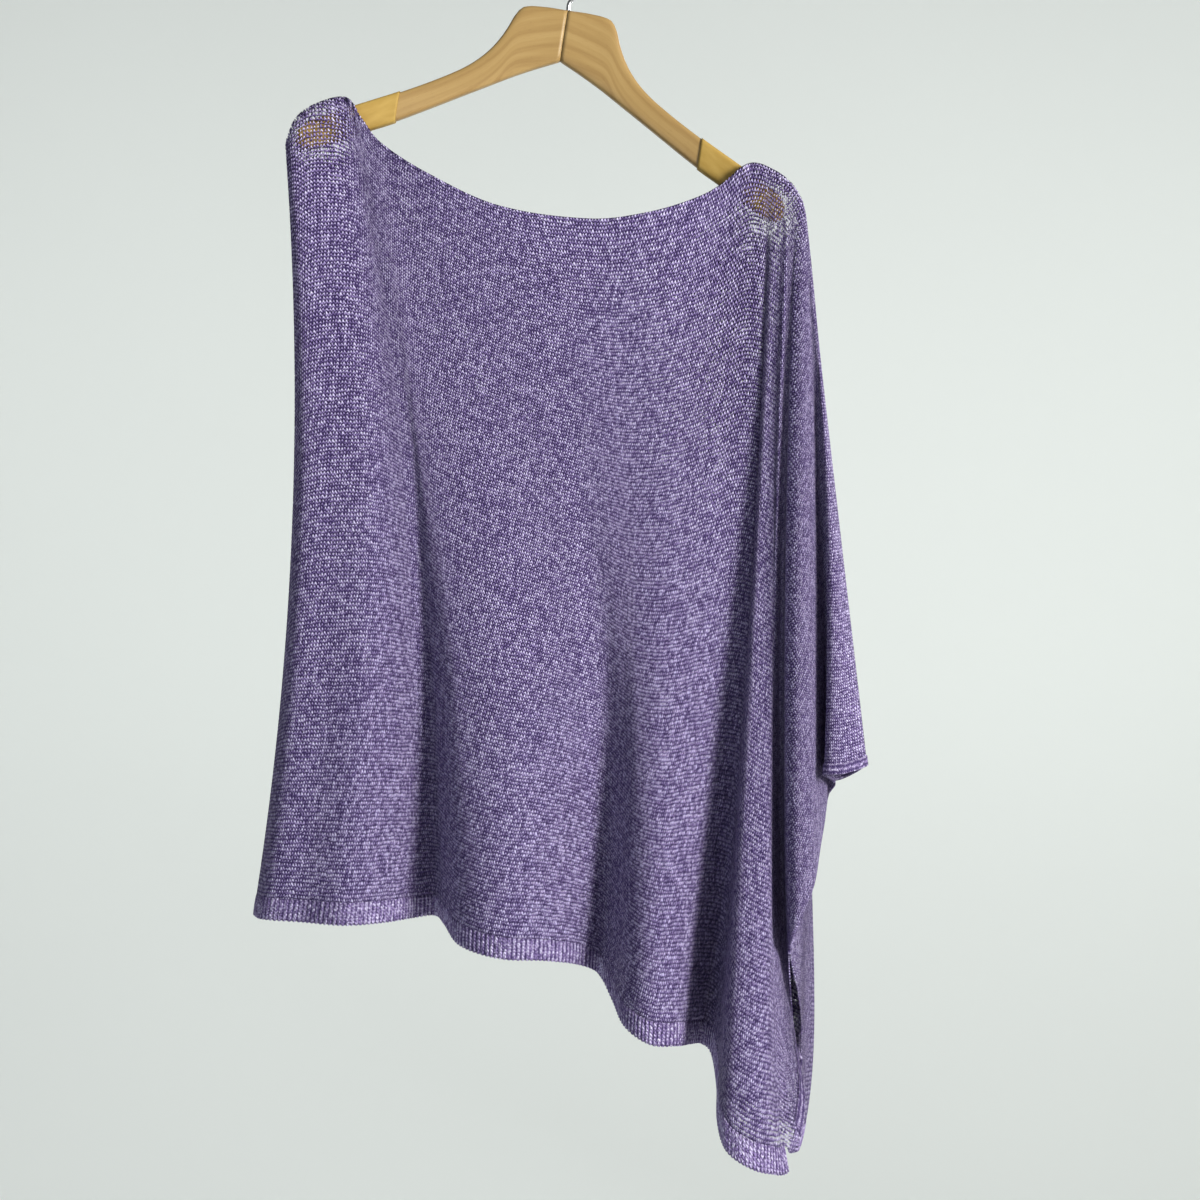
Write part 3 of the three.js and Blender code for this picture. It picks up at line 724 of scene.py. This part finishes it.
def make_arm(name, mirror):
    """One arm from the joint in the middle out to its rounded tip."""
    first, last = ARM_STATIONS[0][0], ARM_STATIONS[-1][0]
    stations = [first + (last - first) * k / 60 for k in range(61)]
    sections = [arm_ring(a, mirror, 0) for a in stations]
    sections.insert(0, arm_ring(first, mirror, -HANGER["joint_edge"]))
    sections.append(arm_ring(last, mirror, -HANGER["tip_edge"]))
    return joined_rings(name, [ring for ring, _ in sections], [marks for _, marks in sections])


arms = {"left": make_arm("hanger_left", -1), "right": make_arm("hanger_right", 1)}
for label, arm in arms.items():
    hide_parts(f"hanger_arm_{label}")
print("faces in an arm:", len(arms["left"].data.polygons))

# %% [markdown]
# ## The non-slip sleeves
# A thin amber tube of soft plastic is pulled over the outer part of each arm. It is the arm's own section,
# grown by the tube's wall and closed over the tip, with a turned-in lip at its mouth.

# %% Sleeves on the arms
GRIP = {"wall": 1.1, "gap": 0.12, "lip": 2.5, "rim": 0.8, "tip": 0.3}


def make_grip(name, mirror):
    """The tube over an arm's outer part, from a lip turned in at its mouth to its closed tip."""
    first, last = HANGER["grip_start"], ARM_STATIONS[-1][0]
    stations = [first + (last - first) * k / 40 for k in range(41)]
    sections = [arm_ring(first + GRIP["lip"], mirror, GRIP["gap"]), arm_ring(first, mirror, GRIP["gap"])]
    sections.append(arm_ring(first, mirror, GRIP["rim"]))
    sections += [arm_ring(a, mirror, GRIP["wall"]) for a in stations]
    tip_ring, tip_marks = arm_ring(last, mirror, GRIP["tip"])
    sections.append(([(x + mirror * GRIP["wall"], y, z) for x, y, z in tip_ring], tip_marks))
    return joined_rings(name, [ring for ring, _ in sections], [marks for _, marks in sections])


grips = {"left": make_grip("sleeve_left", -1), "right": make_grip("sleeve_right", 1)}
for label, grip in grips.items():
    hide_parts(f"grip_{label}")
print("faces in a sleeve:", len(grips["left"].data.polygons))

# %% [markdown]
# ## The hook
# The hook is one length of bright steel wire, bent round a former into an open crown. Its middle line is set
# down as points, and a round section is carried along it as rings.

# %% Hook
HOOK = {"wire": 3.6, "radius": 21, "foot": -61.9, "straight": 6.9, "lean_out": 4, "lean_up": 12.9}
WIRE_SIDES = 16
WIRE_GIRTH = 0.011


def hook_line():
    """Points of the wire's middle line, from its foot in the wood to its open end."""
    reach = HOOK["radius"] + HOOK["wire"] / 2
    points = [(0, HOOK["foot"]), (0, HOOK["foot"] + HOOK["straight"])]
    points.append((HOOK["lean_out"], HOOK["foot"] + HOOK["lean_up"]))
    for degrees in range(-40, 201, 20):
        angle = math.radians(degrees)
        points.append((reach * math.cos(angle), -HOOK["radius"] + reach * math.sin(angle)))
    lengths = [0.0]
    for one, two in zip(points, points[1:]):
        lengths.append(lengths[-1] + math.dist(one, two))
    run_x = smooth_curve(lengths, [p[0] for p in points])
    run_z = smooth_curve(lengths, [p[1] for p in points])
    fine = np.linspace(0, lengths[-1], 140)
    return np.stack([run_x(fine), run_z(fine)], axis=-1), fine


def make_hook():
    """The bent wire, with its open end rounded over."""
    line, run = hook_line()
    ways = unit(np.gradient(line, axis=0))
    rings, grain = [], []
    radius = HOOK["wire"] / 2
    for k, (point, way, length) in enumerate(zip(line, ways, run)):
        left = len(line) - 1 - k
        size = radius * (0.55 if left == 0 else 0.86 if left == 1 else 1)
        ring = []
        for j in range(WIRE_SIDES):
            angle = 2 * math.pi * j / WIRE_SIDES
            side = size * math.cos(angle)
            ring.append((point[0] - way[1] * side, size * math.sin(angle), point[1] + way[0] * side))
        rings.append(ring)
        grain.append([(length * MM, j / WIRE_SIDES * WIRE_GIRTH) for j in range(WIRE_SIDES)])
    return joined_rings("hook", rings, grain)


hook = make_hook()
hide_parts("hanger_hook")
print("faces in the hook:", len(hook.data.polygons))

# %% [markdown]
# ## Finishes
# Each finish is a small tree of nodes. These helpers keep the trees short: each adds one node, or a short
# chain of them, and its inputs are either numbers or other nodes' outputs.

# %% Node helpers
def new_finish(name):
    """A material with its tree and its surface shader."""
    finish = bpy.data.materials.new(name)
    finish.use_nodes = True
    return finish, finish.node_tree, finish.node_tree.nodes["Principled BSDF"]


def feed(tree, socket, value):
    """A number or colour set on a socket, or an output linked to it."""
    if isinstance(value, bpy.types.NodeSocket):
        tree.links.new(value, socket)
    else:
        socket.default_value = value


def sum_of(tree, operation, *values):
    """The output of one arithmetic node."""
    step = tree.nodes.new("ShaderNodeMath")
    step.operation = operation
    for socket, value in zip(step.inputs, values):
        feed(tree, socket, value)
    return step.outputs[0]


def blend_of(tree, *shares):
    """The sum of outputs, each times its share."""
    total = None
    for output, share in shares:
        step = sum_of(tree, "MULTIPLY", output, share)
        total = step if total is None else sum_of(tree, "ADD", total, step)
    return total


def noise_of(tree, vector, scale, detail=2.0, roughness=0.5):
    """The grey output of a noise texture."""
    noise = tree.nodes.new("ShaderNodeTexNoise")
    feed(tree, noise.inputs["Vector"], vector)
    noise.inputs["Scale"].default_value = scale
    noise.inputs["Detail"].default_value = detail
    noise.inputs["Roughness"].default_value = roughness
    return noise.outputs["Fac"]


def ramp_of(tree, factor, *stops):
    """A colour ramp through stops of a place and a colour."""
    ramp = tree.nodes.new("ShaderNodeValToRGB")
    while len(ramp.color_ramp.elements) < len(stops):
        ramp.color_ramp.elements.new(0.5)
    for element, (place, colour) in zip(ramp.color_ramp.elements, stops):
        element.position = place
        element.color = (*colour, 1)
    feed(tree, ramp.inputs["Fac"], factor)
    return ramp.outputs["Color"]


def soft_step(tree, value, low, high):
    """0 at low, 1 at high and an even turn between."""
    step = tree.nodes.new("ShaderNodeMapRange")
    step.interpolation_type = "SMOOTHSTEP"
    feed(tree, step.inputs["Value"], value)
    step.inputs["From Min"].default_value = low
    step.inputs["From Max"].default_value = high
    return step.outputs["Result"]


# %% [markdown]
# ## The knit
# The cloth is an open plain knit in a mottled yarn: rows of small stitches, 2.6 mm wide and 3.2 mm high, with
# little gaps between them that light comes through. The pattern is counted out on the flat map: a stitch is a
# cell of that map, its row swaying up and down across it, with a painted highlight in its middle and painted
# shade between the rows, and a gap at its corners.
# Noise on the map makes the rows wander, gives each stitch its own tone and spins light fibres into the yarn.

# %% Knit finish
KNIT = {"wale": 0.0026, "course": 0.0032, "sway": 0.22, "wander": 0.0016, "jitter": 0.0012}
KNIT_NOISE = {"wander": 55, "jitter": 260, "fibre": 560}
# In RIB_KNIT, ridge weighs painted light on the hem's ridges and painted shade in its furrows.
RIB_KNIT = {"wale": 0.0023, "course": 0.0027, "pattern": 0.4, "lift": 0.12, "ridge": 0.26}
# row and bead weigh a painted highlight on each stitch and painted shade between the rows; own and fibre give
# the yarn's own mottled tone.
TONE_AND_PAINTED_LIGHT = {"row": 0.18, "bead": 0.46, "own": 0.44, "fibre": 1.15, "middle_at": 0.33, "light_at": 0.78}
UNEVEN_GAPS = 0.16


def stitch_cells(tree, uv, wale, course):
    """The flat map counted out in stitches: places across and down one, its sway and its own number."""
    parts = tree.nodes.new("ShaderNodeSeparateXYZ")
    tree.links.new(uv, parts.inputs[0])
    slow = sum_of(tree, "SUBTRACT", noise_of(tree, uv, KNIT_NOISE["wander"]), 0.5)
    quick = sum_of(tree, "SUBTRACT", noise_of(tree, uv, KNIT_NOISE["jitter"], 1), 0.5)
    drift = blend_of(tree, (slow, KNIT["wander"] * 2), (quick, KNIT["jitter"] * 2))
    across = sum_of(tree, "DIVIDE", sum_of(tree, "ADD", parts.outputs[0], drift), wale)
    column = sum_of(tree, "FLOOR", across)
    side = sum_of(tree, "SUBTRACT", sum_of(tree, "SUBTRACT", across, column), 0.5)
    sway = sum_of(tree, "COSINE", sum_of(tree, "MULTIPLY", side, 2 * math.pi))
    down = sum_of(tree, "DIVIDE", sum_of(tree, "ADD", parts.outputs[1], drift), course)
    down = sum_of(tree, "ADD", down, sum_of(tree, "MULTIPLY", sway, KNIT["sway"]))
    row = sum_of(tree, "FLOOR", down)
    height = sum_of(tree, "SUBTRACT", sum_of(tree, "SUBTRACT", down, row), 0.5)

    cell = tree.nodes.new("ShaderNodeCombineXYZ")
    tree.links.new(column, cell.inputs[0])
    tree.links.new(row, cell.inputs[1])
    chance = tree.nodes.new("ShaderNodeTexWhiteNoise")
    chance.noise_dimensions = "2D"
    tree.links.new(cell.outputs[0], chance.inputs["Vector"])
    return side, height, sway, sum_of(tree, "SUBTRACT", chance.outputs["Value"], 0.5)


def rib_ridge_shading(tree, uv):
    """The hem's ridges, from -1 in a furrow to 1 on a ridge, which paint light on the ridges and shade in the
    furrows.
    """
    parts = tree.nodes.new("ShaderNodeSeparateXYZ")
    tree.links.new(uv, parts.inputs[0])
    return sum_of(tree, "COSINE", sum_of(tree, "MULTIPLY", parts.outputs[0], 2 * math.pi / (HEM_PITCH * MM)))


def knit_gaps(tree, side, height, own_tone, opens):
    """1 on the yarn and 0 in the gap at each corner of a stitch, which grows where the cloth is pulled."""
    pulled = tree.nodes.new("ShaderNodeAttribute")
    pulled.attribute_name = "open"
    wide = sum_of(tree, "ADD", sum_of(tree, "MULTIPLY", pulled.outputs["Fac"], opens[1]), opens[0])
    wide = sum_of(tree, "ADD", wide, sum_of(tree, "MULTIPLY", own_tone, UNEVEN_GAPS))
    to_side = sum_of(tree, "SUBTRACT", 0.5, sum_of(tree, "ABSOLUTE", side))
    to_row = sum_of(tree, "SUBTRACT", 0.5, sum_of(tree, "ABSOLUTE", height))
    squares = sum_of(tree, "ADD", sum_of(tree, "POWER", to_side, 2.0), sum_of(tree, "POWER", to_row, 2.0))
    return sum_of(tree, "GREATER_THAN", sum_of(tree, "SQRT", squares), wide)


def knit_finish(name, wale, course, dark, middle, light, opens, ribbed=False):
    """A plain knit on the flat map, from its stitch size, three tones, painted light on its stitches and
    gaps, with or without ribs.
    """
    finish, tree, surface = new_finish(name)
    flat_map = tree.nodes.new("ShaderNodeUVMap")
    flat_map.uv_map = "flat"
    uv = flat_map.outputs["UV"]
    side, height, sway, own_tone = stitch_cells(tree, uv, wale, course)

    # yarn marks each row's crown and bead each stitch's middle: both raise the bump and paint a highlight
    # there, with painted shade between the rows.
    yarn = soft_step(tree, sum_of(tree, "ABSOLUTE", height), 0.46, 0.10)
    bead = sum_of(tree, "MULTIPLY", yarn, sum_of(tree, "ADD", sum_of(tree, "MULTIPLY", sway, 0.5), 0.5))
    fibre = sum_of(tree, "SUBTRACT", noise_of(tree, uv, KNIT_NOISE["fibre"], 2, 0.7), 0.5)
    pattern = RIB_KNIT["pattern"] if ribbed else 1
    # The tone adds the painted highlight and shade of yarn and bead to each stitch's own tone and its fibres.
    tone = blend_of(tree, (yarn, TONE_AND_PAINTED_LIGHT["row"] * pattern), (bead, TONE_AND_PAINTED_LIGHT["bead"] * pattern),
                    (own_tone, TONE_AND_PAINTED_LIGHT["own"]), (fibre, TONE_AND_PAINTED_LIGHT["fibre"]))
    if ribbed:
        tone = sum_of(tree, "ADD", tone, RIB_KNIT["lift"])
        # Painted light on each rib's ridge and painted shade in each furrow.
        tone = sum_of(tree, "ADD", tone, sum_of(tree, "MULTIPLY", rib_ridge_shading(tree, uv), RIB_KNIT["ridge"]))
    colour = ramp_of(tree, tone, (0.0, dark), (TONE_AND_PAINTED_LIGHT["middle_at"], middle), (TONE_AND_PAINTED_LIGHT["light_at"], light))
    feed(tree, surface.inputs["Base Color"], colour)
    tree.links.new(knit_gaps(tree, side, height, own_tone, opens), surface.inputs["Alpha"])

    relief = tree.nodes.new("ShaderNodeBump")
    relief.inputs["Strength"].default_value = 0.9
    relief.inputs["Distance"].default_value = 0.0011
    raised = sum_of(tree, "ADD", sum_of(tree, "ADD", yarn, bead), sum_of(tree, "MULTIPLY", fibre, 0.5))
    tree.links.new(raised, relief.inputs["Height"])
    tree.links.new(relief.outputs[0], surface.inputs["Normal"])
    surface.inputs["Roughness"].default_value = 0.88
    surface.inputs["Sheen Weight"].default_value = 0.08
    surface.inputs["Sheen Roughness"].default_value = 0.5
    surface.inputs["Sheen Tint"].default_value = (0.80, 0.72, 0.95, 1)
    surface.inputs["Specular IOR Level"].default_value = 0.25
    return finish


# %% Knit on its pieces
knit = knit_finish(
    "mauve_knit", KNIT["wale"], KNIT["course"],
    dark=(0.040, 0.022, 0.105), middle=(0.26, 0.188, 0.44), light=(0.76, 0.70, 0.97), opens=(0.13, 0.31),
)
rib_knit = knit_finish(
    "mauve_rib", RIB_KNIT["wale"], RIB_KNIT["course"],
    dark=(0.06, 0.037, 0.14), middle=(0.27, 0.195, 0.44), light=(0.74, 0.68, 0.93), opens=(-0.3, 0.0),
    ribbed=True,
)
for piece in (front_knit, back_knit, bands["front"][0], bands["back"][0]):
    piece.data.materials.append(knit)
for trim in (front_hem, back_hem, *bands["front"][1:], *bands["back"][1:]):
    trim.data.materials.append(rib_knit)
print("knit finishes: 2")

# %% [markdown]
# ## Beech, amber plastic and steel
# Beech is pale and even, with fine darker flecks along the grain. The pattern is drawn on the arm's own
# grain map, stretched along its length. The sleeve is smooth, slightly milky plastic, and the hook is bright
# drawn wire.

# %% Hard finishes
def grain_coordinates(tree, along, across):
    """The grain map, scaled along the piece and across it."""
    grain_map = tree.nodes.new("ShaderNodeUVMap")
    grain_map.uv_map = "grain"
    stretch = tree.nodes.new("ShaderNodeMapping")
    stretch.inputs["Scale"].default_value = (along, across, 1)
    tree.links.new(grain_map.outputs["UV"], stretch.inputs["Vector"])
    return stretch.outputs["Vector"]


def beech_finish():
    """Lacquered beech with long soft figure and short dark flecks."""
    finish, tree, surface = new_finish("beech")
    figure = noise_of(tree, grain_coordinates(tree, 6, 110), 1.0, 4, 0.55)
    fleck = noise_of(tree, grain_coordinates(tree, 190, 1900), 1.0, 2, 0.6)
    flecked = soft_step(tree, fleck, 0.60, 0.74)
    tone = sum_of(tree, "SUBTRACT", figure, sum_of(tree, "MULTIPLY", flecked, 0.22))
    brown, straw, cream = (0.27, 0.155, 0.052), (0.39, 0.25, 0.092), (0.47, 0.32, 0.13)
    feed(tree, surface.inputs["Base Color"], ramp_of(tree, tone, (0.22, brown), (0.52, straw), (0.8, cream)))
    relief = tree.nodes.new("ShaderNodeBump")
    relief.inputs["Strength"].default_value = 0.25
    relief.inputs["Distance"].default_value = 0.0002
    tree.links.new(flecked, relief.inputs["Height"])
    tree.links.new(relief.outputs[0], surface.inputs["Normal"])
    surface.inputs["Roughness"].default_value = 0.42
    surface.inputs["Specular IOR Level"].default_value = 0.3
    surface.inputs["Coat Weight"].default_value = 0.06
    surface.inputs["Coat Roughness"].default_value = 0.3
    return finish


def amber_finish():
    """Soft amber plastic, faintly clouded and dulled by handling."""
    finish, tree, surface = new_finish("amber_plastic")
    cloud = noise_of(tree, grain_coordinates(tree, 60, 160), 1.0, 3)
    deep, pale = (0.40, 0.25, 0.055), (0.48, 0.315, 0.085)
    feed(tree, surface.inputs["Base Color"], ramp_of(tree, cloud, (0.3, deep), (0.7, pale)))
    feed(tree, surface.inputs["Roughness"], sum_of(tree, "ADD", sum_of(tree, "MULTIPLY", cloud, 0.3), 0.48))
    surface.inputs["Specular IOR Level"].default_value = 0.2
    relief = tree.nodes.new("ShaderNodeBump")
    relief.inputs["Strength"].default_value = 0.2
    relief.inputs["Distance"].default_value = 0.0003
    tree.links.new(noise_of(tree, grain_coordinates(tree, 900, 900), 1.0, 2), relief.inputs["Height"])
    tree.links.new(relief.outputs[0], surface.inputs["Normal"])
    return finish


def steel_finish():
    """Bright drawn wire with fine marks along it."""
    finish, tree, surface = new_finish("bright_wire")
    marks = noise_of(tree, grain_coordinates(tree, 120, 2600), 1.0, 3)
    dull, bright = (0.48, 0.48, 0.50), (0.66, 0.66, 0.68)
    feed(tree, surface.inputs["Base Color"], ramp_of(tree, marks, (0.3, dull), (0.7, bright)))
    feed(tree, surface.inputs["Roughness"], sum_of(tree, "ADD", sum_of(tree, "MULTIPLY", marks, 0.2), 0.14))
    surface.inputs["Metallic"].default_value = 1
    return finish


beech, amber, wire = beech_finish(), amber_finish(), steel_finish()
for arm in arms.values():
    arm.data.materials.append(beech)
for grip in grips.values():
    grip.data.materials.append(amber)
hook.data.materials.append(wire)
print("hard finishes:", beech.name, amber.name, wire.name)
